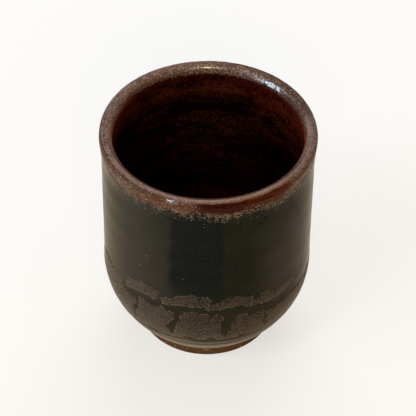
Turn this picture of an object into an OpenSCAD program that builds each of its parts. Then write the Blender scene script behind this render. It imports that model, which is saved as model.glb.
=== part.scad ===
// Handleless stoneware tea cup: a wheel-thrown clay body on a turned foot ring, lined inside,
// coated black outside, breaking to rust over the lip, with a crawled brown second coat low on the wall.
// The cup stands on its foot at z = 0 and turns about +Z. All sizes are in millimetres.
// Azimuths are in degrees from the front (-Y), positive towards +X.

/* [Thrown wall] */
// Height from the table to the top of the glazed lip
cup_h = 89; // [78:0.5:105]
// Outside diameter of the straight clay wall
wall_d = 73.6; // [68:0.2:84]
// Thickness of the clay wall
wall_t = 2.8; // [2.2:0.1:4]
// How far the rolled lip stands out past the wall
lip_flare = 0.7; // [0.4:0.1:1.6]
// Height over which the wall flares out to the lip
flare_h = 10.5; // [8:0.5:16]
// Height where the straight wall turns in towards the foot
belly_h = 30.5; // [26:0.5:36]

/* [Floor and foot] */
// Height of the clay floor inside the cup
floor_h = 9; // [8:0.5:13]
// Radius of the curve from the inside wall to the floor
inner_curve_r = 21.5; // [14:0.5:26]
// Outside diameter of the turned foot ring
foot_d = 50; // [44:0.5:56]
// Height of the foot ring up to the wall's lower curve
foot_h = 5.2; // [4.5:0.1:7]
// Width of the flat ring that the cup stands on
foot_land = 4.6; // [3:0.2:7]
// Bevel on both edges of the foot ring
foot_bevel = 0.7; // [0.3:0.1:1.2]
// Depth of the recess turned inside the foot ring
recess_h = 4.8; // [4.2:0.1:6]

/* [Glaze coats] */
// Thickness of the black coat, the liner and the lip coat
glaze_t = 0.5; // [0.3:0.05:0.8]
// Depth of the rust lip coat on the outside, from the top of the lip
lip_coat_out = 5.5; // [4.5:0.1:9]
// Depth of the rust lip coat on the inside, from the top of the lip
lip_coat_in = 4.6; // [4.5:0.1:9]
// Height of bare clay between the foot ring and the edge of the black coat
bare_band = 1.6; // [0.8:0.1:3]
// Radius of the rolled edge where the black coat stops
glaze_roll_r = 0.8; // [0.6:0.05:1.2]

/* [Brown second coat] */
// Thickness of the brown coat over the black one
brown_t = 0.25; // [0.15:0.05:0.5]
// Number of islands around the cup, in the lower band and in the upper one
islands = 14; // [10:1:18]
// Height of the lower band's bottom edge
low_band_z = 20; // [18:0.5:24]
// Height of the lower band from its bottom edge to the tops of its islands
low_band_h = 15.5; // [11:0.5:18]
// Width of a slot between two islands of the lower band
slot_w = 2.4; // [1.4:0.1:4]
// Height of the joined strip under the slots
slot_sill = 3.5; // [2.5:0.5:6]
// Lean of the most slanted slot, sideways per unit of height
slot_lean = 0.33; // [0:0.01:0.5]
// Width of the arched bites along the lower band's bottom edge
bite_w = 6; // [3:0.5:9]
// Height of the arched bites
bite_h = 1.8; // [0.6:0.1:2.4]
// Gap between the lower and the upper band
band_gap = 1.4; // [1:0.1:5]
// Height of an upper island at its middle
high_band_h = 6.4; // [3.5:0.1:8]
// Rise of an upper island's middle above its ends
high_band_arch = 3; // [0:0.1:4]
// Gap between two upper islands
break_w = 1.3; // [0.8:0.1:3]
// Depth of the waves along the crawled edges
edge_wave = 0.35; // [0.1:0.05:0.6]

/* [Hidden] */
$fn = 96;

// Clay wall and lip roll, as half-section radii and heights
wall_r = wall_d / 2;
inner_r = wall_r - wall_t;
lip_roll_r = (wall_t + lip_flare) / 2;
lip_x = inner_r + lip_roll_r;
lip_top = cup_h;
lip_z = lip_top - glaze_t - lip_roll_r;

// Hollow flare arc, tangent to the straight wall and to the lip roll
flare_z = lip_z - flare_h;
flare_reach = (flare_h ^ 2 + lip_flare ^ 2) / (2 * lip_flare);
flare_arc_r = flare_reach - lip_roll_r;
flare_turn = asin(flare_h / flare_reach);

// Lower curve, tangent to the wall at the belly and ending at the top of the foot ring
foot_r = foot_d / 2;
curve_r = ((belly_h - foot_h) ^ 2 + (wall_r - foot_r) ^ 2) / (2 * (wall_r - foot_r));
curve_x = wall_r - curve_r;
// Solid middle of the section, where the lower curve's circle turns back up towards the axis
core_r = foot_r / 2;

// Heights where one coat stops and the next begins
lip_coat_out_z = lip_top - lip_coat_out;
lip_coat_in_z = lip_top - lip_coat_in;
black_edge_z = foot_h + bare_band;

// Brown bands
high_band_z = low_band_z + low_band_h + band_gap;
island_pitch = 360 / islands;
// First slot and first break, how far the slots wander from an even spacing, and each one's share of the lean
slot_azimuth = -17.5;
break_azimuth = 0.5;
slot_wander = [0, 3, 0, -2, 1, 3, -1, -3, 2, 0, -2, 1, -1, 1];
slot_lean_share = [1, 0.3, 0, 0.6, -0.3, 0.8, 0.2, -0.2, 0.9, 0.4, 0, 0.7, -0.3, 0.1];

// Radial cutters run from inside the wall to past the widest coat
reach = wall_r + lip_flare + glaze_t + brown_t + 1;
island_root = wall_r * cos(island_pitch / 2) - 0.5;
// Steps along one wavy edge
edge_steps = 12;

// Half section of all that lies inside the outer surface, grown outwards by a coat
module outside(grow) {
    intersection() {
        translate([curve_x, belly_h]) circle(curve_r + grow);
        translate([0, foot_h]) square([wall_r + grow, belly_h - foot_h]);
    }
    translate([0, foot_h]) square([core_r, belly_h - foot_h]);
    translate([0, belly_h]) square([wall_r + grow, flare_z - belly_h]);
    difference() {
        translate([0, flare_z]) square(lip_tangent(grow) - [0, flare_z]);
        translate([wall_r + flare_arc_r, flare_z]) circle(flare_arc_r - grow, $fn = 360);
    }
    translate([lip_x, lip_z]) circle(lip_roll_r + grow);
}

// Point where the flare arc runs into the lip roll
function lip_tangent(grow) =
    [lip_x, lip_z] + (lip_roll_r + grow) * [cos(flare_turn), -sin(flare_turn)];

// Half section of the hollow that holds the tea, narrowed by a coat
module hollow(coat) {
    intersection() {
        translate([inner_r - inner_curve_r, floor_h + inner_curve_r]) circle(inner_curve_r - coat);
        translate([inner_r - inner_curve_r, floor_h]) square(inner_curve_r);
    }
    translate([0, floor_h + coat]) square([inner_r - inner_curve_r, inner_curve_r - coat]);
    translate([0, floor_h + inner_curve_r])
        square([inner_r - coat, lip_z - floor_h - inner_curve_r]);
}

// Half section of the foot ring with its bevels and turned recess
module foot_section() {
    land_in = foot_r - foot_bevel - foot_land;
    difference() {
        polygon([
            [0, 0], [foot_r - foot_bevel, 0], [foot_r, foot_bevel],
            [foot_r, foot_h], [0, foot_h]
        ]);
        polygon([
            [0, 0], [land_in, 0], [land_in - foot_bevel, foot_bevel],
            [land_in - foot_bevel, recess_h], [0, recess_h]
        ]);
    }
}

module clay_section() {
    difference() {
        union() {
            outside(0);
            foot_section();
        }
        hollow(0);
    }
}

// Everything at or above a height, inside or outside the lip's centre line
module above_inside(z) translate([0, z]) square([lip_x, cup_h]);
module above_outside(z) translate([lip_x, z]) square([reach, cup_h]);

module clay_body() {
    color("saddlebrown") rotate_extrude() clay_section();
}

module liner_glaze() {
    color([0.16, 0.04, 0.02]) rotate_extrude() difference() {
        hollow(0);
        hollow(glaze_t);
        above_inside(lip_coat_in_z);
    }
}

module lip_glaze() {
    color([0.36, 0.2, 0.15]) rotate_extrude() difference() {
        intersection() {
            outside(glaze_t);
            union() {
                above_inside(lip_coat_in_z);
                above_outside(lip_coat_out_z);
            }
        }
        clay_section();
        hollow(glaze_t);
    }
}

module black_glaze() {
    rise = belly_h - black_edge_z;
    edge_r = curve_x + sqrt(curve_r ^ 2 - rise ^ 2);
    color([0.1, 0.1, 0.08]) rotate_extrude() difference() {
        union() {
            intersection() {
                outside(glaze_t);
                translate([0, black_edge_z]) square([reach, lip_coat_out_z - black_edge_z]);
            }
            translate([edge_r, black_edge_z]) circle(glaze_roll_r);
        }
        outside(0);
        foot_section();
    }
}

// Ring of brown coat on the black surface between two heights
module brown_ring(z0, z1) {
    rotate_extrude() difference() {
        intersection() {
            outside(glaze_t + brown_t);
            translate([0, z0]) square([reach, z1 - z0]);
        }
        outside(glaze_t);
    }
}

// Radial cutter with its outline in width and height, standing at an azimuth
module radial_cutter(azimuth, outline, root) {
    rotate([0, 0, azimuth]) rotate([90, 0, 0])
        translate([0, 0, root]) linear_extrude(reach - root) polygon(outline);
}

// Wavy offset along a crawled edge, different on each island
function wave(step, index) = edge_wave * (sin(70 * step + 50 * index) + sin(113 * step + 80 * index)) / 2;

// Outline of an upper island: a low arch with wavy edges, between two breaks
function island_outline(index) =
    let (half = (wall_r + glaze_t) * sin(island_pitch / 2) - break_w / 2,
         end_h = high_band_h - high_band_arch)
    concat(
        [for (i = [0 : edge_steps])
            let (t = i / edge_steps)
            [half * (2 * t - 1), high_band_z + high_band_arch * sin(180 * t) / 2 + wave(i, index)]],
        [for (i = [edge_steps : -1 : 0])
            let (t = i / edge_steps)
            [half * (2 * t - 1), high_band_z + end_h + high_band_arch * sin(180 * t) + wave(i + 5, index)]]
    );

// Outline of a slot: round at the sill, leaning, and opening out past the islands' tops
function slot_outline(index) =
    let (sill_z = low_band_z + slot_sill,
         depth = low_band_h - slot_sill + edge_wave,
         lean = slot_lean * slot_lean_share[index % len(slot_lean_share)] * depth,
         mouth = slot_half(1) + edge_wave,
         top_z = sill_z + depth + slot_w)
    concat(
        [for (i = [0 : edge_steps])
            let (t = i / edge_steps)
            [lean * (t - 0.5) + slot_half(t) + wave(i, index), sill_z + depth * t]],
        [[lean / 2 + mouth, top_z], [lean / 2 - mouth, top_z]],
        [for (i = [edge_steps : -1 : 1])
            let (t = i / edge_steps)
            [lean * (t - 0.5) - slot_half(t) + wave(i + 7, index), sill_z + depth * t]]
    );

// Half width of a slot: nothing at the sill, full soon after, and flaring at the mouth to round the islands
function slot_half(t) = slot_w / 2 * (sin(min(90, 360 * t)) + 2 * t ^ 6);

// Outline of a bite out of the lower band's bottom edge: an ellipse centred just below that edge
function bite_outline(index) =
    let (half = bite_w / 2 * (1 + 0.3 * sin(130 * index)))
    [for (i = [0 : 2 * edge_steps - 1])
        let (turn = 180 * (i + 0.5) / edge_steps)
        [half * cos(turn), low_band_z - edge_wave / 2 + bite_h * sin(turn)]];

// Azimuth of a slot of the lower band
function slot_place(index) = slot_azimuth + index * island_pitch + slot_wander[index % len(slot_wander)];

module brown_upper_islands() {
    top = high_band_z + high_band_h + 2 * edge_wave;
    color([0.32, 0.26, 0.22]) intersection() {
        brown_ring(high_band_z - 2 * edge_wave, top);
        union() for (i = [0 : islands - 1])
            radial_cutter(break_azimuth + (i + 0.5) * island_pitch, island_outline(i), island_root);
    }
}

module brown_lower_band() {
    color([0.32, 0.25, 0.22]) difference() {
        brown_ring(low_band_z, low_band_z + low_band_h);
        for (i = [0 : islands - 1])
            radial_cutter(slot_place(i), slot_outline(i), foot_r);
        for (i = [0 : islands - 1])
            radial_cutter(slot_place(i) + island_pitch / 3, bite_outline(i), foot_r);
    }
}

clay_body();
liner_glaze();
lip_glaze();
black_glaze();
brown_upper_islands();
brown_lower_band();
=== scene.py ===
"""Looks of a thrown stoneware tea cup: black glaze breaking to rust at the lip, over a bare turned foot."""

import functools
import math

import bpy
import numpy as np
from mathutils import Matrix, Vector, noise


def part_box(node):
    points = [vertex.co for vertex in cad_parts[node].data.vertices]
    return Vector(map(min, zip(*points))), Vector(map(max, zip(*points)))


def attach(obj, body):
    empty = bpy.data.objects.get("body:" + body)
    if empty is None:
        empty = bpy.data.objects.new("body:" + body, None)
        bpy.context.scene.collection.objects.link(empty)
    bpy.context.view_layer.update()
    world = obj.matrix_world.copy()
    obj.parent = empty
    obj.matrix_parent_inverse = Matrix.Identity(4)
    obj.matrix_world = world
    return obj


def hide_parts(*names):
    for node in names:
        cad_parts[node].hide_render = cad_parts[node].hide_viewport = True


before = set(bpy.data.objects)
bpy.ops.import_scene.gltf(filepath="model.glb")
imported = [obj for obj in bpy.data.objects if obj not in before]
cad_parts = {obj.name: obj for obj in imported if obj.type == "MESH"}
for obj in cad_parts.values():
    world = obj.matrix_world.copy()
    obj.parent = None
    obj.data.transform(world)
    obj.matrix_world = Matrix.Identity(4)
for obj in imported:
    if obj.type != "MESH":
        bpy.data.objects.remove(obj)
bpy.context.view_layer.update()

# Thickness of a coat of glaze, and sizes that the solids give, in metres
COAT = 0.0005
lip_low, lip_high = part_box("lip_glaze")
liner_low, liner_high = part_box("liner_glaze")
CUP_TOP = lip_high.z
LIP_R = lip_high.x - COAT
INNER_R = liner_high.x
FLOOR = liner_low.z
LIP_COAT_OUT = lip_low.z
LIP_COAT_IN = liner_high.z

# Sizes of the thrown clay that no box shows, in metres
WALL_R = 0.0368
BELLY = 0.0305
FLARE_RISE = 0.0105
INNER_CURVE = 0.0215
FOOT_R = 0.025
FOOT_TOP = 0.0052
FOOT_BEVEL = 0.0007
FOOT_LAND = 0.0046
RECESS = 0.0048
RECESS_FILLET = 0.001
BLACK_EDGE = 0.0068
GLAZE_ROLL = 0.0008
GLAZE_ROLL_END = math.radians(35)

# Rolled lip, hollow flare and lower curve, tangent to the straight wall
LIP_ROLL = (LIP_R - INNER_R) / 2
LIP_X = INNER_R + LIP_ROLL
LIP_Z = CUP_TOP - COAT - LIP_ROLL
FLARE_Z = LIP_Z - FLARE_RISE
FLARE_OUT = LIP_R - WALL_R
FLARE_REACH = (FLARE_RISE**2 + FLARE_OUT**2) / (2 * FLARE_OUT)
FLARE_ARC = FLARE_REACH - LIP_ROLL
FLARE_TURN = math.asin(FLARE_RISE / FLARE_REACH)
CURVE_R = ((BELLY - FOOT_TOP) ** 2 + (WALL_R - FOOT_R) ** 2) / (2 * (WALL_R - FOOT_R))
CURVE_X = WALL_R - CURVE_R

# Bead of glaze under the lip: its azimuth in degrees from the front, height, reach, half height and swell
BEAD_TURN = -18.5
BEAD_Z = CUP_TOP - 0.0017
BEAD_REACH = 0.0025
BEAD_HALF_HEIGHT = 0.0006
BEAD_SWELL = 0.00045

# Ridge of glaze that pooled inside the lip: its azimuth, half its turn, height, half height and swell, and
# the rise over which it starts
RIDGE_TURN = 141
RIDGE_REACH = 22
RIDGE_Z = CUP_TOP - 0.0029
RIDGE_HALF_HEIGHT = 0.0009
RIDGE_SWELL = 0.0005
RIDGE_START = 0.0006

# Pits and swells of the lip's surface: their depth, the share of it by which all lie deeper than the
# coat's face, and how many lie along a metre
LIP_PITS = 0.00008
LIP_PIT_SINK = 0.7
LIP_PIT_SCALE = 900

# Spiral that the fingers leave on the floor inside: its pitch and depth, the radii over which it starts and
# ends, and the height and radius of the knob in its middle
SWIRL_PITCH = 0.0052
SWIRL_DEPTH = 0.00012
SWIRL_START = (0.001, 0.006)
SWIRL_END = (0.024, 0.014)
KNOB_RISE = 0.0003
KNOB_R = 0.004

# Throwing rings, each kind with its pitch and depth, and the heights over which they start and end
WALL_RINGS = (0.011, 0.00005)
WALL_RINGS_START = (0.02, 0.03)
LINER_RINGS = (0.0075, 0.00006)
LINER_RINGS_START = (FLOOR + 0.004, FLOOR + 0.012)
LINER_RINGS_END = (0.086, 0.074)

# Soft swells of the wall, and the groove and ridge round it: how far each stands out, its height, half height
WALL_SWELL = 0.00006
WALL_GROOVE = (-0.0003, 0.0162, 0.0006)
WALL_RIDGE = (0.00015, 0.0178, 0.0012)

# Unevenness of the thrown form: shares of the radius by which it is squarish and off centre, the lip's dips,
# and the heights over which they come in
SQUARISH = 0.004
OFF_CENTRE = 0.002
UNEVEN_START = (0.02, 0.08)
LIP_DIP = 0.00012
LIP_DIP_START = (0.07, 0.088)

# Fineness of the turned meshes
SPIN_STEPS = 320
LIP_SPIN_STEPS = 640
SKIN_STEP = 0.0008
LIP_STEP = 0.0003
BACK_STEP = 0.003
CLAY_STEP = 0.0012
FOOT_STEP = 0.001
FOOT_SIDE_STEP = 0.0004
ROLL_STEP = 0.0002
LIP_ROLL_STEP = LIP_ROLL / 5
CREASE = math.radians(50)
SAME_PLACE = 1e-6


# Half sections, as lists of (radius, height)
def line(start, end, step):
    """Points from start to end, both included."""
    count = max(1, round(math.dist(start, end) / step))
    return [tuple(a + (b - a) * i / count for a, b in zip(start, end)) for i in range(count + 1)]


def arc(centre, radius, start, end, step):
    """Points along an arc, with its angles in radians from the outward direction, positive upwards."""
    count = max(2, round(radius * abs(end - start) / step))
    turns = [start + (end - start) * i / count for i in range(count + 1)]
    return [(centre[0] + radius * math.cos(t), centre[1] + radius * math.sin(t)) for t in turns]


def outer_skin(coat, step):
    """The outside from the foot ring to the crest of the lip, with a coat of that thickness on the clay."""
    low_turn = math.asin((BELLY - FOOT_TOP) / (CURVE_R + coat))
    lip_step = min(step, LIP_ROLL_STEP)
    return (
        arc((CURVE_X, BELLY), CURVE_R + coat, -low_turn, 0, step)
        + line((WALL_R + coat, BELLY), (WALL_R + coat, FLARE_Z), step)[1:]
        + arc((WALL_R + FLARE_ARC, FLARE_Z), FLARE_ARC - coat, math.pi, math.pi - FLARE_TURN, step)[1:]
        + arc((LIP_X, LIP_Z), LIP_ROLL + coat, -FLARE_TURN, math.pi / 2, lip_step)[1:]
    )


def inner_skin(coat, step):
    """The inside from the crest of the lip down the wall to the middle of the floor."""
    lip_step = min(step, LIP_ROLL_STEP)
    curve_x = INNER_R - INNER_CURVE
    curve_z = FLOOR + INNER_CURVE
    return (
        arc((LIP_X, LIP_Z), LIP_ROLL + coat, math.pi / 2, math.pi, lip_step)
        + line((INNER_R - coat, LIP_Z), (INNER_R - coat, curve_z), step)[1:]
        + arc((curve_x, curve_z), INNER_CURVE - coat, 0, -math.pi / 2, step)[1:]
        + line((curve_x, FLOOR + coat), (0, FLOOR + coat), step)[1:]
    )


def stretch(points, start, end):
    """The part of a skin between two heights, with its ends on those heights."""
    low, high = min(start, end), max(start, end)
    kept = []
    for a, b in zip(points, points[1:]):
        for height in sorted((low, high), reverse=a[1] > b[1]):
            if min(a[1], b[1]) < height < max(a[1], b[1]):
                share = (height - a[1]) / (b[1] - a[1])
                kept.append((a[0] + (b[0] - a[0]) * share, height))
        if low <= b[1] <= high:
            kept.append(b)
    return kept


# Shape that the hand gives to a thrown cup, for arrays of points
def smooth_step(value, low, high):
    share = np.clip((value - low) / (high - low), 0, 1)
    return share * share * (3 - 2 * share)


def turned(points):
    """Radius, turn from the right-hand side, and height of each point."""
    x, y, height = points.T
    return np.hypot(x, y), np.arctan2(y, x), height


def from_front(points):
    """Azimuth of each point in degrees, 0 at the front and positive to the right."""
    return np.degrees(np.arctan2(points[:, 0], -points[:, 1]))


def thrown(points, relief=0):
    """Points of a true turned form as hands leave it: not quite round, with a gently uneven lip."""
    radius, turn, height = turned(points)
    uneven = SQUARISH * np.cos(4 * turn) + OFF_CENTRE * np.cos(turn)
    radius = (radius + relief) * (1 - smooth_step(height, *UNEVEN_START) * uneven)
    lip_dip = LIP_DIP * (1 + np.sin(3 * turn + 0.6)) * smooth_step(height, *LIP_DIP_START)
    return np.stack([radius * np.cos(turn), radius * np.sin(turn), height - lip_dip], axis=1)


def throwing_rings(turn, height, pitch, depth):
    """Spiral rings left by the fingers, fading in and out round the cup."""
    swell = 0.6 + 0.4 * np.sin(2 * turn + 90 * height)
    return depth * swell * np.sin(2 * math.pi * height / pitch + turn)


def swelling(height, swell, middle, half):
    """A ring round the wall that stands out by swell, or in where that is negative."""
    return swell * np.exp(-(((height - middle) / half) ** 2))


def wall_relief(points):
    """How far the black coat's surface stands out or in, all over the outside."""
    _, turn, height = turned(points)
    rings = throwing_rings(turn, height, *WALL_RINGS)
    soft = WALL_SWELL * np.sin(5 * turn + 130 * height) * np.sin(3 * turn - 70 * height)
    marks = swelling(height, *WALL_GROOVE) + swelling(height, *WALL_RIDGE)
    return (rings + soft) * smooth_step(height, *WALL_RINGS_START) + marks


def liner_relief(points):
    """How far the liner's wall stands out from the axis or in."""
    _, turn, height = turned(points)
    rings = throwing_rings(turn, height, *LINER_RINGS) * smooth_step(height, *LINER_RINGS_END)
    return rings * smooth_step(height, *LINER_RINGS_START)


def floor_swirl(points):
    """How far the liner's floor stands up: a spiral left by the fingers, with a knob in the middle."""
    radius, turn, _ = turned(points)
    spiral = SWIRL_DEPTH * np.sin(2 * math.pi * radius / SWIRL_PITCH - turn)
    spiral = spiral * smooth_step(radius, *SWIRL_START)
    knob = KNOB_RISE * np.exp(-((radius / KNOB_R) ** 2))
    return (spiral + knob) * smooth_step(radius, *SWIRL_END)


# Pieces turned on the wheel
def close_mesh():
    """Joins points that coincide, turns the faces outwards and ends the editing."""
    bpy.ops.mesh.select_all(action="SELECT")
    bpy.ops.mesh.remove_doubles(threshold=SAME_PLACE)
    bpy.ops.mesh.normals_make_consistent(inside=False)
    bpy.ops.object.mode_set(mode="OBJECT")


def turn_piece(name, outline, steps=SPIN_STEPS):
    """Draws an outline point by point beside the turning axis, and spins it right round."""
    bpy.ops.object.select_all(action="DESELECT")
    bpy.ops.mesh.primitive_plane_add(size=0.001)
    piece = bpy.context.object
    piece.name = piece.data.name = name
    bpy.ops.object.mode_set(mode="EDIT")
    bpy.ops.mesh.select_all(action="SELECT")
    bpy.ops.mesh.merge(type="CENTER")
    bpy.ops.transform.translate(value=(outline[0][0], 0, outline[0][1]))
    for a, b in zip(outline, outline[1:]):
        step = (b[0] - a[0], 0, b[1] - a[1])
        bpy.ops.mesh.extrude_region_move(TRANSFORM_OT_translate={"value": step})
    bpy.ops.mesh.select_all(action="SELECT")
    bpy.ops.mesh.spin(steps=steps, angle=2 * math.pi, center=(0, 0, 0), axis=(0, 0, 1))
    close_mesh()
    bpy.ops.object.shade_smooth_by_angle(angle=CREASE)
    return piece


def points_of(piece):
    flat = np.empty(len(piece.data.vertices) * 3)
    piece.data.vertices.foreach_get("co", flat)
    return flat.reshape(-1, 3)


def reshape(piece, points):
    piece.data.vertices.foreach_set("co", points.ravel())
    piece.data.update()


def finish_piece(piece, material, node):
    piece.data.materials.clear()
    piece.data.materials.append(material)
    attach(piece, "root")
    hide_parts(node)


def make_clay_body(name):
    land_in = FOOT_R - FOOT_BEVEL - FOOT_LAND
    recess_r = land_in - FOOT_BEVEL
    fillet_x = recess_r - RECESS_FILLET
    fillet_z = RECESS - RECESS_FILLET
    foot = (
        line((0, RECESS), (fillet_x, RECESS), SKIN_STEP)
        + arc((fillet_x, fillet_z), RECESS_FILLET, math.pi / 2, 0, LIP_STEP)[1:]
        + [(recess_r, FOOT_BEVEL), (land_in, 0)]
        + line((land_in, 0), (FOOT_R - FOOT_BEVEL, 0), FOOT_STEP)[1:]
        + arc((FOOT_R - FOOT_BEVEL, FOOT_BEVEL), FOOT_BEVEL, -math.pi / 2, 0, ROLL_STEP)[1:]
        + line((FOOT_R, FOOT_BEVEL), (FOOT_R, FOOT_TOP), FOOT_SIDE_STEP)[1:-1]
    )
    wall = outer_skin(0, CLAY_STEP) + inner_skin(0, BACK_STEP)[1:]
    piece = turn_piece(name, foot + wall)
    reshape(piece, thrown(points_of(piece)))
    return piece


def make_black_glaze(name):
    skin = stretch(outer_skin(COAT, SKIN_STEP), BLACK_EDGE, LIP_COAT_OUT)
    back = stretch(outer_skin(0, BACK_STEP), BLACK_EDGE, LIP_COAT_OUT)
    lean = math.asin((BELLY - BLACK_EDGE) / CURVE_R)
    roll = arc(back[0], GLAZE_ROLL, -lean - math.pi / 2, -lean + GLAZE_ROLL_END, ROLL_STEP)
    outline = roll + [p for p in skin if math.dist(p, back[0]) > GLAZE_ROLL] + back[:0:-1]
    piece = turn_piece(name, outline + outline[:1])
    points = points_of(piece)
    reshape(piece, thrown(points, on_skin_only(points, wall_relief(points))))
    return piece


def on_skin_only(points, relief):
    """Relief on the visible face of an outside coat, and none where it meets the clay."""
    radius, _, height = turned(points)
    below = np.hypot(radius - CURVE_X, height - BELLY) - CURVE_R
    depth = np.where(height < BELLY, below, radius - WALL_R)
    return relief * (depth > COAT / 2)


def glaze_bead(points):
    """How far a bead of glaze stands out from the outside of the lip."""
    radius, _, height = turned(points)
    across = np.radians(from_front(points) - BEAD_TURN) * LIP_R
    away = (across / BEAD_REACH) ** 2 + ((height - BEAD_Z) / BEAD_HALF_HEIGHT) ** 2
    return BEAD_SWELL * np.exp(-away) * (radius > LIP_X)


def pooled_ridge(points):
    """How far the ridge of pooled glaze moves the inside of the lip towards the axis."""
    radius, _, height = turned(points)
    across = (from_front(points) - RIDGE_TURN) / RIDGE_REACH
    away = across**4 + ((height - RIDGE_Z) / RIDGE_HALF_HEIGHT) ** 2
    inside = radius < INNER_R - COAT / 2
    low_end = smooth_step(height, LIP_COAT_IN, LIP_COAT_IN + RIDGE_START)
    return RIDGE_SWELL * np.exp(-away) * inside * low_end


def pitted(points):
    """Points of the lip moved in and out across its surface, as a thin glaze lies on gritty clay."""
    radius, _, height = turned(points)
    out = radius - LIP_X
    up = np.maximum(height - LIP_Z, 0)
    reach = np.hypot(out, up)
    swell = np.array([noise.noise(Vector(p) * LIP_PIT_SCALE) for p in points])
    depth = LIP_PITS * (swell - LIP_PIT_SINK)
    radius_now = radius + depth * out / reach
    moved = points * (radius_now / radius)[:, None]
    moved[:, 2] = height + depth * up / reach
    return moved


def make_lip_glaze(name):
    outside = stretch(outer_skin(COAT, LIP_STEP), LIP_COAT_OUT, CUP_TOP)
    inside = stretch(inner_skin(COAT, LIP_STEP), CUP_TOP, LIP_COAT_IN)
    back_out = stretch(outer_skin(0, SKIN_STEP), LIP_COAT_OUT, CUP_TOP)
    back_in = stretch(inner_skin(0, SKIN_STEP), CUP_TOP, LIP_COAT_IN)
    outline = outside + inside[1:] + (back_out + back_in[1:])[::-1]
    piece = turn_piece(name, outline + outline[:1], LIP_SPIN_STEPS)
    points = points_of(piece)
    relief = on_skin_only(points, wall_relief(points)) * smooth_step(points[:, 2], LIP_Z, LIP_COAT_OUT)
    relief += glaze_bead(points) - pooled_ridge(points)
    reshape(piece, thrown(pitted(points), relief))
    return piece


def make_liner_glaze(name):
    skin = stretch(inner_skin(COAT, SKIN_STEP), LIP_COAT_IN, 0)
    back = stretch(inner_skin(0, BACK_STEP), LIP_COAT_IN, 0)
    piece = turn_piece(name, skin[::-1] + back)
    points = points_of(piece)
    radius, _, height = turned(points)
    curve = np.hypot(radius - INNER_R + INNER_CURVE, height - FLOOR - INNER_CURVE)
    low = height < FLOOR + INNER_CURVE
    visible = np.where(low, curve < INNER_CURVE - COAT / 2, radius < INNER_R - COAT / 2)
    rise = floor_swirl(points) * visible
    points = thrown(points, liner_relief(points) * visible)
    points[:, 2] += rise
    reshape(piece, points)
    return piece


# The crawled brown coat is drawn as one set of islands, which is repeated round the cup, turned by so many
# degrees and, where the second number is -1, mirrored
SETS = [(0, 1), (146, -1), (239.5, 1)]
# Outlines of the islands, in degrees from the front and millimetres of height, each with the sets that
# have it
UPPER_ISLANDS = [
    ((0, 1, 2), [
        (-50, 36), (-47, 35.6), (-42, 37.5), (-37, 38), (-33, 38), (-30, 37.3), (-28, 37.2), (-26.8, 39),
        (-26.5, 42), (-30, 42.5), (-35, 43.5), (-38, 44.7), (-42, 42.4), (-47, 41), (-50, 39)]),
    ((0, 1, 2), [
        (-26.3, 38.6), (-24.5, 36.9), (-20, 36.4), (-18, 37.8), (-10, 38.3), (-2, 38.1), (0, 39.4), (3, 41.2),
        (3.4, 42.3), (0.5, 44), (-2, 43.6), (-8, 44.7), (-13, 43.6), (-17, 42), (-20, 40.6), (-25, 40.4)]),
    ((0, 1, 2), [
        (-1.4, 38), (1, 36.7), (8, 37.4), (15, 38), (19, 38), (22, 36.6), (24.5, 37.6), (27, 40.6),
        (25, 41.6), (20, 42.2), (14.5, 43.6), (10, 42.2), (5, 40.6), (0, 39.2)]),
    ((0, 1), [
        (22.5, 36.4), (28, 36), (34, 35.3), (39, 34.9), (44, 35.3), (49.5, 36), (53, 37.2), (56, 38.6),
        (53, 39.4), (46.5, 39.8), (40, 39.7), (33, 41.1), (29, 40), (25, 38.4)]),
]
# Sides of the slots next to islands that differ from set to set
LEFT_SLOT = [(-43, 20), (-44.6, 25.5), (-43.4, 28), (-41.6, 31), (-42, 33.2)]
RIGHT_SLOT = [(34, 30.8), (33.2, 29.6), (34.8, 29), (35, 25.4), (34.4, 23.6), (33, 20.4)]
LOWER_ISLANDS = [
    ((0,), LEFT_SLOT + [
        (-46, 33.2), (-50.4, 34), (-52.4, 36), (-52.8, 39), (-55, 38.6), (-59, 37.4), (-63, 37.8),
        (-69, 39.6), (-74, 39.2), (-78, 37), (-78, 20)]),
    ((1,), LEFT_SLOT + [(-48, 33), (-54, 33.6), (-60, 32.5), (-62, 29), (-62, 20)]),
    ((0, 1, 2), [
        (-45, 19.8), (-19, 19.8), (-20, 23.6), (-22.6, 25.4), (-21.6, 27.6), (-19.8, 29), (-17.2, 31.4),
        (-18, 33.6), (-22, 34.5), (-25, 36), (-27, 34.9), (-31, 34.7), (-38, 36), (-39.6, 34.8), (-40.2, 30),
        (-42, 26)]),
    ((0, 1, 2), [
        (-24, 20), (12, 20), (10.5, 23.4), (8.6, 25.5), (8, 28), (9.2, 31), (9.6, 33.6), (5.5, 35.3), (3, 34),
        (1, 35.6), (-5, 35.5), (-8, 36.2), (-12, 35.2), (-14.2, 34), (-14.6, 31), (-16.2, 28), (-18.2, 25),
        (-18, 23.4)]),
    ((0, 1, 2), [
        (8, 20.4), (36, 20.4), (34, 23.6), (33.2, 26), (33.4, 29.8), (33, 31.8), (30.5, 32), (28, 31.2),
        (24, 32.4), (20, 34), (17, 32.8), (14.8, 31.6), (13.6, 28), (12.4, 25.4), (11.4, 23.4)]),
    ((1, 2), RIGHT_SLOT + [(62, 20.4), (63, 27), (61, 31), (55, 32), (49, 31.6), (43, 30), (39, 29.6)]),
    ((0,), RIGHT_SLOT + [
        (84, 20.4), (86, 27), (83, 31), (76, 32.2), (70, 31), (64, 31.4), (56, 31.7), (50, 31.5),
        (44.6, 30.6), (39.5, 29.6)]),
]
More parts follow.
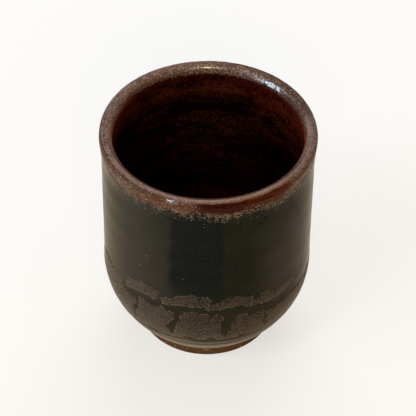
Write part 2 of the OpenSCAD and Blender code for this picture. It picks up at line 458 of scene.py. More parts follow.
# Dark arches bitten out of the lower edge
LOWER_BITES = [
    ((0, 1, 2), [(-15, 19), (-5.5, 19), (-6, 20.6), (-8.5, 21.6), (-12, 21.4), (-14.5, 20.2)]),
    ((0, 1, 2), [(-0.5, 19), (6.5, 19), (5.6, 21), (3, 22), (0.6, 21.6)]),
    ((0, 1, 2), [(-38, 18), (-27, 18), (-30, 20.8), (-35, 20.6)]),
    ((0, 1, 2), [(17, 19), (28, 19), (25, 21.2), (20, 21.4)]),
    ((0, 1, 2), [(44, 19), (53, 19), (50, 21.4), (46, 21.2)]),
]

# The crawled coat's lift, the sink of its rim, its depth, its rounded edge from outside to inside, the gap
# between its two rows and the heights of the strips that they are cut from
BROWN_LIFT = 0.00018
BROWN_SINK = 0.00004
BROWN_DEPTH = 0.0001
ISLAND_EDGE = (-0.0002, 0.001)
ISLAND_GAP = 0.0006
UPPER_STRIP = (0.033, 0.0465)
LOWER_STRIP = (0.0185, 0.0415)
SKIN_R = WALL_R + COAT

# Size of a strip's cells, how near the edge a corner is drawn onto it, how far at most, and over what slope
BROWN_CELL = 0.0003
EDGE_REACH = BROWN_CELL * 0.7
EDGE_PULL = BROWN_CELL * 0.45
LEAST_SLOPE = 0.3

# Raggedness of the edges: the depth of the steps, and how many lie along a metre
EDGE_RAGS = [(0.0006, 520), (0.0008, 1900)]


def distance_inside(outline, across, up):
    """Distance in metres of each point to an outline's nearest edge, positive inside it."""
    corners = [(math.radians(a) * SKIN_R, h * 0.001) for a, h in outline]
    nearest = np.full(across.shape, 1.0)
    inside = np.zeros(across.shape, bool)
    for (x0, y0), (x1, y1) in zip(corners, corners[1:] + corners[:1]):
        edge_x, edge_y = x1 - x0, y1 - y0
        share = ((across - x0) * edge_x + (up - y0) * edge_y) / (edge_x**2 + edge_y**2)
        share = np.clip(share, 0, 1)
        gap = np.hypot(across - x0 - share * edge_x, up - y0 - share * edge_y)
        nearest = np.minimum(nearest, gap)
        if edge_y:
            crosses = (y0 > up) != (y1 > up)
            inside ^= crosses & (across < x0 + (up - y0) * edge_x / edge_y)
    return np.where(inside, nearest, -nearest)


def all_round(islands, turn, height):
    """Distance inside the nearest of the islands, in all their sets round the cup."""
    best = np.full(turn.shape, -1.0)
    for sets, outline in islands:
        for start, way in [SETS[i] for i in sets]:
            local = (np.degrees(turn) - start + 180) % 360 - 180
            across = np.radians(local * way) * SKIN_R
            best = np.maximum(best, distance_inside(outline, across, height))
    return best


def ragged(turn, height):
    """Small uneven steps along a crawled edge, in metres."""
    x, y = SKIN_R * np.sin(turn), -SKIN_R * np.cos(turn)
    out = []
    for place in zip(x.ravel(), y.ravel(), height.ravel()):
        point = Vector(place)
        out.append(sum(depth * noise.noise(point * scale) for depth, scale in EDGE_RAGS))
    return np.array(out).reshape(turn.shape)


def on_skin(turn, height, lift):
    """Points on the black coat's surface at those azimuths and heights, raised by lift."""
    low_turn = np.arcsin(np.clip((BELLY - height) / (CURVE_R + COAT), 0, 1))
    radius = CURVE_X + (CURVE_R + COAT + lift) * np.cos(low_turn)
    up = height - lift * np.sin(low_turn)
    flat = np.stack([radius * np.sin(turn), -radius * np.cos(turn), up], axis=-1).reshape(-1, 3)
    base = np.stack([SKIN_R * np.sin(turn), -SKIN_R * np.cos(turn), height], axis=-1).reshape(-1, 3)
    return thrown(flat, wall_relief(base))


def make_brown_coat(name, outlines, bites, gap, strip):
    """A strip wrapped right round the wall, cut to the islands' crawled outlines and given its thickness."""
    low, high = strip
    columns = round(2 * math.pi * SKIN_R / BROWN_CELL)
    rows = round((high - low) / BROWN_CELL)
    bpy.ops.object.select_all(action="DESELECT")
    bpy.ops.mesh.primitive_grid_add(x_subdivisions=columns, y_subdivisions=rows, size=2)
    piece = bpy.context.object
    piece.name = piece.data.name = name
    flat = points_of(piece)
    turn = flat[:, 0] * math.pi
    height = low + (flat[:, 1] + 1) / 2 * (high - low)

    def field(turn, height):
        bitten = -all_round(bites, turn, height) - gap
        return np.minimum(all_round(outlines, turn, height), bitten) + ragged(turn, height)

    value = field(turn, height)
    # Corners just outside the edge are drawn onto it, so that the edge runs smoothly between the cells
    nudge = BROWN_CELL / 4
    slope_x = (field(turn + nudge / SKIN_R, height) - value) / nudge
    slope_y = (field(turn, height + nudge) - value) / nudge
    steep = np.maximum(slope_x**2 + slope_y**2, LEAST_SLOPE)
    near = np.abs(value) < EDGE_REACH
    pull = np.where(near, -value / steep, 0)
    turn = turn + np.clip(pull * slope_x, -EDGE_PULL, EDGE_PULL) / SKIN_R
    height = height + np.clip(pull * slope_y, -EDGE_PULL, EDGE_PULL)
    value = np.where(near, 0, value)

    lift = BROWN_LIFT * smooth_step(value, *ISLAND_EDGE) - BROWN_SINK * (value <= 0)
    reshape(piece, on_skin(turn, height, lift))
    edge = piece.data.attributes.new("edge_distance", "FLOAT", "POINT")
    edge.data.foreach_set("value", np.clip(value / ISLAND_EDGE[1], 0, 1))

    corners = np.empty(len(piece.data.polygons) * 4, int)
    piece.data.polygons.foreach_get("vertices", corners)
    bare = (value[corners].reshape(-1, 4) < 0).any(axis=1)
    bpy.ops.object.mode_set(mode="EDIT")
    bpy.ops.mesh.select_mode(type="FACE")
    bpy.ops.mesh.select_all(action="DESELECT")
    bpy.ops.object.mode_set(mode="OBJECT")
    piece.data.polygons.foreach_set("select", bare)
    bpy.ops.object.mode_set(mode="EDIT")
    bpy.ops.mesh.delete(type="FACE")
    bpy.ops.mesh.select_mode(type="VERT")
    close_mesh()
    bpy.ops.object.shade_smooth()
    thickness = piece.modifiers.new("coat thickness", "SOLIDIFY")
    thickness.thickness = BROWN_DEPTH
    thickness.offset = -1
    bpy.ops.object.modifier_apply(modifier=thickness.name)
    return piece


# Material building. A socket knows the node tree that it is in, so most helpers need no tree
def add(tree, kind, inputs=None, **settings):
    """Adds a node, sets its properties, and sets or links its inputs."""
    made = tree.nodes.new(kind)
    for name, value in settings.items():
        setattr(made, name, value)
    for name, value in (inputs or {}).items():
        give(made, name, value)
    return made


def give(node, name, value):
    """Sets a node's input, or links it where the value is a socket. Colours are red, green and blue."""
    socket = node.inputs[name]
    if isinstance(value, bpy.types.NodeSocket):
        node.id_data.links.new(value, socket)
    else:
        socket.default_value = (*value, 1) if socket.type == "RGBA" else value


def tree_of(*values):
    """The tree of the first socket among some values."""
    return next(v.id_data for v in values if isinstance(v, bpy.types.NodeSocket))


def maths(operation, *values):
    return add(tree_of(*values), "ShaderNodeMath", dict(enumerate(values)), operation=operation).outputs[0]


def times(*values):
    return functools.reduce(lambda a, b: maths("MULTIPLY", a, b), values)


def plus(*values):
    return functools.reduce(lambda a, b: maths("ADD", a, b), values)


def most(*values):
    """The greatest of some values."""
    return functools.reduce(lambda a, b: maths("MAXIMUM", a, b), values)


def minus(a, b):
    return maths("SUBTRACT", a, b)


def scaled(value, by, start):
    """A value times by, counted from start."""
    return maths("MULTIPLY_ADD", value, by, start)


def vector(operation, *values):
    return add(tree_of(*values), "ShaderNodeVectorMath", dict(enumerate(values)), operation=operation).outputs


def ramp(value, low, high):
    """0 below low and 1 above high, with a soft step between."""
    inputs = {"Value": value, "From Min": low, "From Max": high}
    made = add(value.id_data, "ShaderNodeMapRange", inputs, interpolation_type="SMOOTHSTEP")
    return made.outputs["Result"]


def mix(share, a, b):
    """Colour a, going over to b as share goes from 0 to 1."""
    return add(share.id_data, "ShaderNodeMix", {0: share, 6: a, 7: b}, data_type="RGBA").outputs[2]


def paint(ground, tint, *masks):
    """A ground colour, with a tint over it where all the masks are 1."""
    return mix(times(*masks), ground, tint)


def grain(place, scale, detail=2.0, roughness=0.5):
    """A cloudy pattern with values about 0.5, and so many clouds along a metre."""
    inputs = {"Vector": place, "Scale": scale, "Detail": detail, "Roughness": roughness}
    return add(place.id_data, "ShaderNodeTexNoise", inputs).outputs["Fac"]


def centred(value, spread):
    """A cloudy pattern's value as a swing of that spread about 0."""
    return times(minus(value, 0.5), spread)


def stretched(place, scale):
    return add(place.id_data, "ShaderNodeMapping", {"Vector": place, "Scale": scale}).outputs["Vector"]


SPECKS = "Scattered specks"
SOCKET_KINDS = {"Place": "NodeSocketVector", "Colour": "NodeSocketColor"}


def new_group(name, inputs, outputs):
    """Input sockets and output node of a new node group."""
    tree = bpy.data.node_groups.new(name, "ShaderNodeTree")
    for way, names in (("INPUT", inputs), ("OUTPUT", outputs)):
        for socket in names:
            kind = SOCKET_KINDS.get(socket, "NodeSocketFloat")
            tree.interface.new_socket(socket, in_out=way, socket_type=kind)
    return tree.nodes.new("NodeGroupInput").outputs, tree.nodes.new("NodeGroupOutput")


def glaze_group(name, *outputs):
    """Place socket and output node of a new node group for a glaze."""
    given, out = new_group(name, ["Place"], outputs)
    return given["Place"], out


def finished(out, **values):
    """The group of an output node, with its outputs given."""
    for name, value in values.items():
        give(out, name, value)
    return out.id_data


def place_group(group, place, inputs=None):
    """Places a node group and gives its outputs."""
    inputs = {"Place": place, **(inputs or {})}
    return add(place.id_data, "ShaderNodeGroup", inputs, node_tree=group).outputs


def specked(place, scale, share, size):
    """Scattered specks of one kind: how many cells along a metre, the share that has one, and its size."""
    specks = bpy.data.node_groups[SPECKS]
    return place_group(specks, place, {"Scale": scale, "Share": share, "Size": size})["Mask"]


def axes_of(place):
    return add(place.id_data, "ShaderNodeSeparateXYZ", {"Vector": place}).outputs


def height_of(place):
    return axes_of(place)["Z"]


def level(place):
    """Each point's place without its height."""
    return vector("MULTIPLY", place, (1, 1, 0))[0]


def radius_of(place):
    return vector("LENGTH", level(place))["Value"]


def azimuth(place):
    """Turn about the cup's axis in degrees, 0 at the front and positive to the right."""
    axes = axes_of(place)
    return times(maths("ARCTAN2", axes["X"], times(axes["Y"], -1.0)), 180 / math.pi)


def lip_roll(place):
    """Turn round the lip's roll in degrees: 0 facing outwards, 90 on the crest, 180 facing inwards."""
    turn = maths("ARCTAN2", minus(height_of(place), LIP_Z), minus(radius_of(place), LIP_X))
    return times(turn, 180 / math.pi)


def within(place, middle, narrow, wide, waver=None):
    """1 within a turn of narrow degrees either side of a middle azimuth, and 0 beyond wide degrees."""
    turn = math.radians(middle)
    aim = (math.sin(turn), -math.cos(turn), 0)
    facing = vector("DOT_PRODUCT", vector("NORMALIZE", level(place))[0], aim)["Value"]
    if waver is not None:
        facing = plus(facing, waver)
    return ramp(facing, math.cos(math.radians(wide)), math.cos(math.radians(narrow)))


def band(value, middle, half):
    """1 at a middle value, falling to 0 at half either side of it."""
    return ramp(maths("ABSOLUTE", minus(value, middle)), half, half * 0.4)


def spot(place, degrees, height, size):
    """1 on a small round spot of the wall, 0 away from it."""
    turn = math.radians(degrees)
    centre = (SKIN_R * math.sin(turn), -SKIN_R * math.cos(turn), height)
    return ramp(vector("DISTANCE", place, centre)["Value"], size, size * 0.5)


def wavy_band(place, left, right):
    """1 between two azimuths, with a wavy side at the left and a straight one at the right."""
    turn = azimuth(place)
    wave = centred(grain(stretched(place, (0.3, 0.3, 1)), 110, 3), 9)
    start = ramp(plus(turn, wave), left - 2.5, left + 2.5)
    return times(start, ramp(turn, right + 1.2, right - 1.2))


def specks_group():
    """Scattered round specks: a share of a pattern's cells hold one each."""
    given, out = new_group(SPECKS, ["Place", "Scale", "Share", "Size"], ["Mask"])
    tree = out.id_data
    cells = add(tree, "ShaderNodeTexVoronoi", {"Vector": given["Place"], "Scale": given["Scale"]}).outputs
    draw = add(tree, "ShaderNodeSeparateColor", {"Color": cells["Color"]}).outputs
    chosen = maths("LESS_THAN", draw["Red"], given["Share"])
    size = times(given["Size"], plus(0.5, draw["Green"]))
    near = minus(1.0, maths("DIVIDE", cells["Distance"], size))
    finished(out, Mask=times(ramp(near, 0.0, 0.4), chosen))


def lip_break_group():
    """Where the rust of the lip gives way: 1 above the edge and 0 below, with a band of lace along it."""
    inputs = ["Place", "Edge", "Sag", "Drift", "Runs", "Grit", "Softness"]
    given, out = new_group("Lip break", inputs, ["Rust", "Lace", "Splash"])
    place = given["Place"]
    runs = centred(grain(stretched(place, (1, 1, 0.5)), 800, 2), given["Runs"])
    drift = centred(grain(stretched(place, (1, 1, 0.2)), 70, 1), given["Drift"])
    grit = centred(grain(place, 2300, 2, 0.6), given["Grit"])
    above = minus(height_of(place), given["Edge"])
    above = scaled(within(place, 14, 16, 38), given["Sag"], above)
    above = plus(above, plus(runs, drift))
    rust = ramp(maths("DIVIDE", plus(above, grit), given["Softness"]), -0.5, 0.5)
    lace = times(ramp(above, -0.0034, -0.001), ramp(above, 0.002, 0.0004))
    splash = times(ramp(above, -0.008, -0.003), ramp(above, 0.0, -0.001))
    return finished(out, Rust=rust, Lace=lace, Splash=splash)


def rust_group():
    """Rust of the glaze where it is thin: brown, mauve on the crest partly as painted sheen, dark red in
    front, with pale flecks and painted highlights.
    """
    place, out = glaze_group("Rust glaze", "Colour")
    cloud = ramp(grain(place, 90, 3), 0.35, 0.65)
    brown = mix(cloud, (0.07, 0.025, 0.009), (0.098, 0.043, 0.02))
    fine = ramp(grain(place, 1500, 4, 0.7), 0.42, 0.62)
    share = scaled(within(place, -14, 8, 24), -0.3, 0.4)
    brown = paint(brown, (0.185, 0.108, 0.075), fine, share)
    roll = lip_roll(place)
    wavy_roll = plus(roll, centred(grain(place, 300, 2), 24))
    # The crest is a pale mauve, partly the glaze's wear and partly painted sheen, paler at the right, with
    # two dark lines along it that are clearest at the left
    crest = times(ramp(roll, 30, 62), ramp(roll, 175, 140))
    worn_and_sheen = times(crest, ramp(grain(place, 500, 3), 0.25, 0.6))
    share = scaled(within(place, 140, 26, 46), -0.45, 0.75)
    brown = paint(brown, (0.188, 0.135, 0.128), worn_and_sheen, share)
    rubbed_and_sheen = times(band(wavy_roll, 112, 40), within(place, 80, 10, 28))
    brown = paint(brown, (0.25, 0.18, 0.172), rubbed_and_sheen, 0.4)
    # Painted highlight along the crest in front
    crest_highlight = times(band(wavy_roll, 86, 26), within(place, -12, 40, 68))
    brown = paint(brown, (0.32, 0.222, 0.18), crest_highlight, 0.5)
    dapple = grain(place, 1900, 3, 0.75)
    brown = paint(brown, (0.06, 0.033, 0.027), ramp(dapple, 0.5, 0.36), 0.6)
    brown = paint(brown, (0.3, 0.235, 0.21), ramp(dapple, 0.55, 0.68), scaled(crest, 0.35, 0.1))
    brown = paint(brown, (0.04, 0.016, 0.01), within(place, 140, 27, 43), 0.5)
    # Painted gold tint on the inner crest at the back, where the warm glint falls
    glint_gold = times(within(place, -178, 8, 18), ramp(roll, 84, 96))
    brown = paint(brown, (0.1, 0.045, 0.01), glint_gold, 0.5)
    smooth_roll = plus(roll, centred(grain(place, 90, 1), 14))
    lines = most(band(smooth_roll, 48, 8), times(band(smooth_roll, 80, 6), 0.5))
    lines = times(lines, within(place, -64, 28, 55))
    back_lines = most(band(smooth_roll, 74, 7), band(smooth_roll, 100, 5))
    lines = most(lines, times(back_lines, within(place, 130, 30, 48), 0.6))
    brown = paint(brown, (0.035, 0.012, 0.008), lines, 0.75)
    # In front the glaze lies thicker under the crest: dark red, with orange and dark streaks along it
    red = within(place, 20, 20, 32, centred(grain(place, 120, 2), 0.06))
    brown = paint(brown, (0.17, 0.066, 0.022), red, band(wavy_roll, 60, 12), 0.7)
    red = times(red, ramp(wavy_roll, 60, 46), ramp(wavy_roll, -66, -50))
    streaks = grain(stretched(place, (0.22, 0.22, 2.2)), 620, 2)
    orange = times(ramp(streaks, 0.46, 0.6), 0.16)
    orange = scaled(within(place, 40, 8, 26), 0.38, orange)
    deep = mix(orange, (0.024, 0.0016, 0.0006), (0.125, 0.026, 0.004))
    scored = ramp(grain(stretched(place, (0.14, 0.14, 3)), 900, 1), 0.54, 0.62)
    deep = paint(deep, (0.01, 0.0012, 0.0006), scored, 0.8)
    brown = mix(times(red, 0.95), brown, deep)
    pale = specked(place, 1900, 0.5, 0.4)
    brown = paint(brown, (0.36, 0.3, 0.26), pale, scaled(red, -0.5, 0.55))
    dark = specked(place, 1300, 0.3, 0.36)
    brown = paint(brown, (0.03, 0.012, 0.008), dark, 0.7)
    return finished(out, Colour=brown)


def black_group():
    """Black glaze where it is thick: blue-black on two bands, the front one a painted dark reflection; olive
    and grey at the sides, partly painted reflection; brown where it thins.
    """
    place, out = glaze_group("Black glaze", "Colour", "Pits")
    height = height_of(place)
    cloud = ramp(grain(place, 60, 4), 0.35, 0.7)
    waver = centred(grain(place, 45, 4, 0.6), 0.35)
    ground = mix(cloud, (0.0078, 0.0098, 0.0066), (0.011, 0.013, 0.0088))
    # Olive and grey at the sides: partly the glaze's own tone, partly painted reflection of the bright
    # surroundings seen at a slant
    lower = scaled(ramp(height, 0.082, 0.06), 0.75, 0.25)
    grey = times(within(place, 66, 0, 46, waver), lower)
    grey = most(grey, within(place, -52, 0, 46, waver), within(place, -160, 0, 42, waver))
    ground = paint(ground, (0.033, 0.029, 0.0235), grey)
    ground = paint(ground, (0.027, 0.0175, 0.0045), within(place, 95, 5, 40, waver), lower)
    ground = paint(ground, (0.044, 0.031, 0.0155), within(place, -98, 0, 58, waver))
    # Right of the front a run of thinner glaze ends in a crooked dark line, which leans with height
    lean = scaled(height, 705.0, azimuth(place))
    lean = plus(lean, centred(grain(place, 330, 3, 0.7), 18))
    top = ramp(height, 0.058, 0.066)
    run = times(ramp(lean, 104.5, 106.5), top)
    ground = paint(ground, (0.042, 0.03, 0.012), run, within(place, 70, 20, 30), 0.25)
    stain = times(band(lean, 105, 1.4), top)
    ground = paint(ground, (0.007, 0.006, 0.004), stain, within(place, 56, 8, 12), 0.8)
    # Two blue-black bands on the upper wall: the one down the front is a painted dark reflection, the other
    # lies at the back right
    dark_bands = most(wavy_band(place, -19.5, 8.5), wavy_band(place, 112, 143))
    ground = paint(ground, (0.0044, 0.0062, 0.0076), dark_bands, ramp(height, 0.04, 0.05), 0.9)
    low = plus(height, centred(cloud, 0.003))
    ground = paint(ground, (0.0175, 0.0152, 0.0093), ramp(low, 0.04, 0.034))
    ringed = ramp(grain(stretched(place, (0.15, 0.15, 3)), 330, 3), 0.38, 0.62)
    thin = mix(ringed, (0.052, 0.038, 0.0195), (0.095, 0.07, 0.04))
    ground = mix(ramp(low, 0.0205, 0.0165), ground, thin)
    mottle = ramp(grain(place, 1100, 2, 0.6), 0.35, 0.65)
    ground = paint(ground, (0.03, 0.027, 0.018), mottle, 0.12)
    faint = specked(place, 900, 0.14, 0.16)
    ground = paint(ground, (0.06, 0.054, 0.04), faint, 0.6)
    pale = specked(place, 480, 0.1, 0.11)
    ground = paint(ground, (0.2, 0.18, 0.14), pale, 0.8)
    pits = specked(place, 150, 0.05, 0.06)
    pits = most(pits, spot(place, 31.5, 0.0778, 0.00065), spot(place, 28.5, 0.0758, 0.00075))
    ground = paint(ground, (0.001, 0.001, 0.001), pits)
    return finished(out, Colour=ground, Pits=pits)


def oxblood_group():
    """Oxblood glaze of the inside, darker with depth, mottled along the throwing rings, with painted
    highlights on the back wall and along one ring.
    """
    place, out = glaze_group("Oxblood glaze", "Colour")
    height = height_of(place)
    broad = grain(stretched(place, (1, 1, 2.6)), 110, 5, 0.7)
    mottle = ramp(broad, 0.36, 0.66)
    deep = mix(mottle, (0.001, 0.0002, 0.0001), (0.012, 0.0026, 0.0008))
    upper = mix(mottle, (0.012, 0.001, 0.0004), (0.05, 0.0072, 0.0024))
    ground = mix(ramp(height, 0.066, 0.084), deep, upper)
    fine = ramp(grain(place, 1100, 3, 0.75), 0.5, 0.6)
    ground = paint(ground, (0.075, 0.014, 0.006), fine, scaled(mottle, 0.42, 0.16))
    # Painted soft highlight, speckled, high on the back wall of the inside
    painted_soft_highlight = times(within(place, 177, 0, 24), ramp(height, 0.036, 0.052), ramp(height, 0.084, 0.076))
    grains = ramp(grain(place, 1200, 3, 0.75), 0.48, 0.6)
    ground = paint(ground, (0.09, 0.045, 0.03), painted_soft_highlight, grains, 0.24)
    rings = grain(stretched(place, (0.5, 0.5, 2)), 60, 4, 0.65)
    bare = times(ramp(rings, 0.51, 0.42), ramp(height, 0.078, 0.071))
    ground = paint(ground, (0.0008, 0.0002, 0.0001), bare, 0.85)
    warm = times(within(place, 112, 24, 46), ramp(height, 0.058, 0.07), ramp(broad, 0.4, 0.6))
    ground = paint(ground, (0.09, 0.014, 0.004), warm, 0.4)
    # Painted highlight along a throwing ring high on the inner wall, broken into grains
    uneven_height = plus(height, centred(broad, 0.004))
    ring = times(band(uneven_height, 0.0793, 0.0032), ramp(broad, 0.35, 0.6))
    broken = ramp(grain(place, 1400, 3, 0.75), 0.4, 0.6)
    ground = paint(ground, (0.08, 0.022, 0.006), ring, broken, 0.5)
    ground = paint(ground, (0.06, 0.003, 0.001), ramp(height, 0.033, 0.025), 0.8)
    crimson = times(within(place, 118, 35, 62), ramp(height, 0.077, 0.083))
    ground = paint(ground, (0.05, 0.0035, 0.0045), crimson, 0.45)
    dark_grain = ramp(grain(place, 900, 3, 0.75), 0.5, 0.4)
    ground = paint(ground, (0.001, 0.0002, 0.0001), dark_grain, 0.8)
    strips = times(ramp(height, 0.075, 0.0866), scaled(mottle, 0.5, 0.35))
    ground = paint(ground, (0.16, 0.022, 0.004), strips, within(place, -72, 36, 66))
    ground = paint(ground, (0.13, 0.012, 0.004), strips, within(place, 66, 36, 62))
    pool = ramp(height, 0.022, 0.015)
    ground = paint(ground, (0.07, 0.014, 0.006), pool, scaled(mottle, 0.5, 0.3))
    turn = times(minus(azimuth(place), 90), -math.pi / 180)
    wave = maths("SINE", scaled(radius_of(place), 2 * math.pi / SWIRL_PITCH, turn))
    ridges = times(ramp(wave, 0.0, 1.0), ramp(height, 0.019, 0.0125))
    ground = paint(ground, (0.19, 0.05, 0.02), ridges, scaled(mottle, 0.5, 0.2))
    return finished(out, Colour=ground)


# Edges of the rust coat, outside and inside
OUTER_BREAK = {
    "Edge": 0.0842, "Sag": 0.0007, "Drift": 0.006, "Runs": 0.004, "Grit": 0.007, "Softness": 0.0008
}
INNER_BREAK = {
    "Edge": 0.0856, "Sag": 0.0, "Drift": 0.002, "Runs": 0.0012, "Grit": 0.0025, "Softness": 0.0006
}
# How far the inner edge rises at the sides, and the heights over which the crest is always rust
INNER_EDGE_RISE = 0.0026
CREST_EDGE = (0.088, 0.0883)


def outside_group(lip_break, rust, black):
    """The outside from the lip to the foot: black, giving way to rust behind a lacy beige edge."""
    place, out = glaze_group("Outside glaze", "Colour", "Pits")
    edge = place_group(lip_break, place, OUTER_BREAK)
    ground = place_group(black, place)
    thin = place_group(rust, place)["Colour"]
    haze = most(within(place, 58, 10, 32), within(place, -82, 12, 36))
    haze = times(haze, ramp(height_of(place), 0.0775, 0.085), ramp(grain(place, 1300, 3, 0.7), 0.4, 0.6))
    surface = paint(ground["Colour"], (0.1, 0.07, 0.056), haze, 0.7)
    surface = mix(edge["Rust"], surface, thin)
    grains = specked(place, 2000, 0.8, 0.5)
    clumps = ramp(grain(place, 480, 3, 0.6), 0.38, 0.53)
    lace = times(grains, clumps, edge["Lace"])
    fullness = scaled(within(place, 15, 35, 55), 0.5, 0.4)
    surface = paint(surface, (0.25, 0.19, 0.138), lace, fullness)
    dots = specked(place, 900, 0.3, 0.2)
    surface = paint(surface, (0.25, 0.21, 0.16), dots, edge["Splash"], 0.7)
    return finished(out, Colour=surface, Pits=ground["Pits"])


def inside_group(lip_break, rust, oxblood):
    """The inside: oxblood, giving way to rust under the lip."""
    place, out = glaze_group("Inside glaze", "Colour")
    sides = most(within(place, -62, 15, 52), within(place, 62, 15, 52))
    edge_height = scaled(sides, INNER_EDGE_RISE, INNER_BREAK["Edge"])
    edge = place_group(lip_break, place, {**INNER_BREAK, "Edge": edge_height})
    ground = place_group(oxblood, place)["Colour"]
    thin = place_group(rust, place)["Colour"]
    covered = most(edge["Rust"], ramp(height_of(place), *CREST_EDGE))
    roll = lip_roll(place)
    # Orange-red strips on the lip's inner side: the glaze's thin red, the left one also brightened as painted
    # light where that side faces away from the lamps
    turned_in = times(ramp(roll, 137, 144), ramp(roll, 180, 165))
    ground = paint(ground, (0.26, 0.045, 0.008), turned_in, within(place, -64, 34, 58), 0.8)
    ground = paint(ground, (0.2, 0.036, 0.014), turned_in, within(place, 52, 28, 50), 0.5)
    front = times(within(place, 0, 50, 90), ramp(roll, 94, 104))
    thin = paint(thin, (0.05, 0.009, 0.004), front, 0.85)
    back = within(place, -155, 50, 85)
    thin = paint(thin, (0.15, 0.075, 0.05), back, 0.45)
    flecks = specked(place, 1700, 0.6, 0.42)
    thin = paint(thin, (0.42, 0.36, 0.33), flecks, back, 0.65)
    return finished(out, Colour=mix(covered, ground, thin))


def new_material(name, gloss):
    """A material with that gloss, its shader, and the piece's own coordinates."""
    material = bpy.data.materials.new(name)
    material.use_nodes = True
    nodes = material.node_tree.nodes
    shader = nodes["Principled BSDF"]
    for socket, value in gloss.items():
        give(shader, socket, value)
    return material, shader, nodes.new("ShaderNodeTexCoord").outputs["Object"]


def give_bump(shader, height, distance, strength):
    inputs = {"Height": height, "Distance": distance, "Strength": strength}
    give(shader, "Normal", add(shader.id_data, "ShaderNodeBump", inputs).outputs["Normal"])


def give_roughness(shader, value, low, high):
    """Roughness that goes from low to high as a pattern's value goes from 0 to 1."""
    give(shader, "Roughness", scaled(value, high - low, low))


# Gloss of the clay and the glazes. The outside's is softer, and glows warm where it is seen at a slant
CLAY_GLOSS = {"Specular IOR Level": 0.15}
LINER_GLOSS = {
    "Specular IOR Level": 0.02, "Specular Tint": (1, 0.9, 0.72), "Coat Roughness": 0.1, "Coat IOR": 1.8
}
WALL_GLOSS = {
    **LINER_GLOSS, "Specular IOR Level": 0.01,
    "Sheen Weight": 0.22, "Sheen Tint": (1, 0.8, 0.5), "Sheen Roughness": 0.35
}
ISLAND_GLOSS = {**WALL_GLOSS, "Sheen Weight": 0.32}
LIP_GLOSS = {
    **WALL_GLOSS, "Coat Roughness": 0.13, "Coat IOR": 2.2,
    "Sheen Weight": 0.12, "Sheen Tint": (1, 0.87, 0.78)
}
# Weight of the clear coat on the liner, on the lip's inner side, where that pooled, and on the bead
LINER_COAT = 0.16
INNER_LIP_COAT = 0.06
POOLED_COAT = 0.6
BEAD_COAT = 0.5
# Radii and heights over which the gloss of the lip's inner side comes in, and heights where the liner dulls
INNER_SIDE = (LIP_X - 0.001, LIP_X - 0.0018)
INNER_SIDE_START = (LIP_COAT_IN, LIP_COAT_IN + 0.0014)
DULL_FLOOR = (FLOOR + 0.012, FLOOR + 0.002)


def black_material(outside):
    material, shader, place = new_material("black glaze", WALL_GLOSS)
    surface = place_group(outside, place)
    give(shader, "Base Color", surface["Colour"])
    give_roughness(shader, grain(place, 120, 3), 0.2, 0.32)
    skin = minus(grain(place, 420, 2), surface["Pits"])
    give_bump(shader, skin, 0.00006, 0.6)
    return material


def bead_mask(place):
    """1 on the upper side of the bead of clear glaze under the lip, left of the front."""
    upper_side = band(height_of(place), BEAD_Z + BEAD_HALF_HEIGHT * 0.7, BEAD_HALF_HEIGHT)
    return times(upper_side, within(place, BEAD_TURN, 2.5, 4))


def lip_material(outside, inside):
    material, shader, place = new_material("rust lip", LIP_GLOSS)
    outer = place_group(outside, place)["Colour"]
    inner = place_group(inside, place)["Colour"]
    radius = radius_of(place)
    give(shader, "Base Color", mix(maths("GREATER_THAN", radius, LIP_X), inner, outer))
    # The inner side of the lip is the glossiest, most of all where the liner's glaze pooled
    inner_side = times(ramp(radius, *INNER_SIDE), ramp(height_of(place), *INNER_SIDE_START))
    pooled = most(within(place, -177.5, 10, 16), within(place, RIDGE_TURN, 16, 28))
    pooled = scaled(pooled, POOLED_COAT - INNER_LIP_COAT, INNER_LIP_COAT)
    dots = scaled(ramp(grain(place, 1250, 2, 0.6), 0.38, 0.6), 0.85, 0.15)
    bead = times(bead_mask(place), BEAD_COAT)
    give(shader, "Coat Weight", most(times(inner_side, pooled, dots), bead))
    give_roughness(shader, grain(place, 120, 3), 0.17, 0.31)
    give_bump(shader, grain(place, 800, 3, 0.65), 0.0004, 0.9)
    return material


def liner_material(inside):
    material, shader, place = new_material("oxblood liner", LINER_GLOSS)
    give(shader, "Base Color", place_group(inside, place)["Colour"])
    dull = ramp(height_of(place), *DULL_FLOOR)
    give(shader, "Coat Weight", scaled(dull, -LINER_COAT, LINER_COAT))
    give_roughness(shader, plus(grain(place, 140, 3), dull), 0.2, 0.4)
    give_bump(shader, grain(place, 350, 4, 0.6), 0.00012, 0.7)
    return material


def brown_material():
    material, shader, place = new_material("crawled brown glaze", ISLAND_GLOSS)
    edge = add(shader.id_data, "ShaderNodeAttribute", attribute_name="edge_distance").outputs["Fac"]
    cloud = ramp(grain(place, 140, 3), 0.35, 0.65)
    ground = mix(cloud, (0.0085, 0.0066, 0.005), (0.0195, 0.0158, 0.0125))
    ground = paint(ground, (0.044, 0.034, 0.028), within(place, -34, 8, 30), 0.38)
    granules = ramp(grain(place, 1700, 3, 0.75), 0.44, 0.6)
    ground = paint(ground, (0.069, 0.057, 0.047), granules, 0.7)
    ground = paint(ground, (0.19, 0.148, 0.104), ramp(edge, 0.6, 0.0), ramp(granules, 0.0, 0.5), 0.85)
    dark = specked(place, 1300, 0.45, 0.4)
    ground = paint(ground, (0.008, 0.0055, 0.0035), dark, 0.8)
    blush = spot(place, 10, 0.0322, 0.0014)
    ground = paint(ground, (0.16, 0.055, 0.022), blush, 0.6)
    give(shader, "Base Color", ground)
    give_roughness(shader, granules, 0.24, 0.42)
    give_bump(shader, granules, 0.0001, 0.8)
    return material


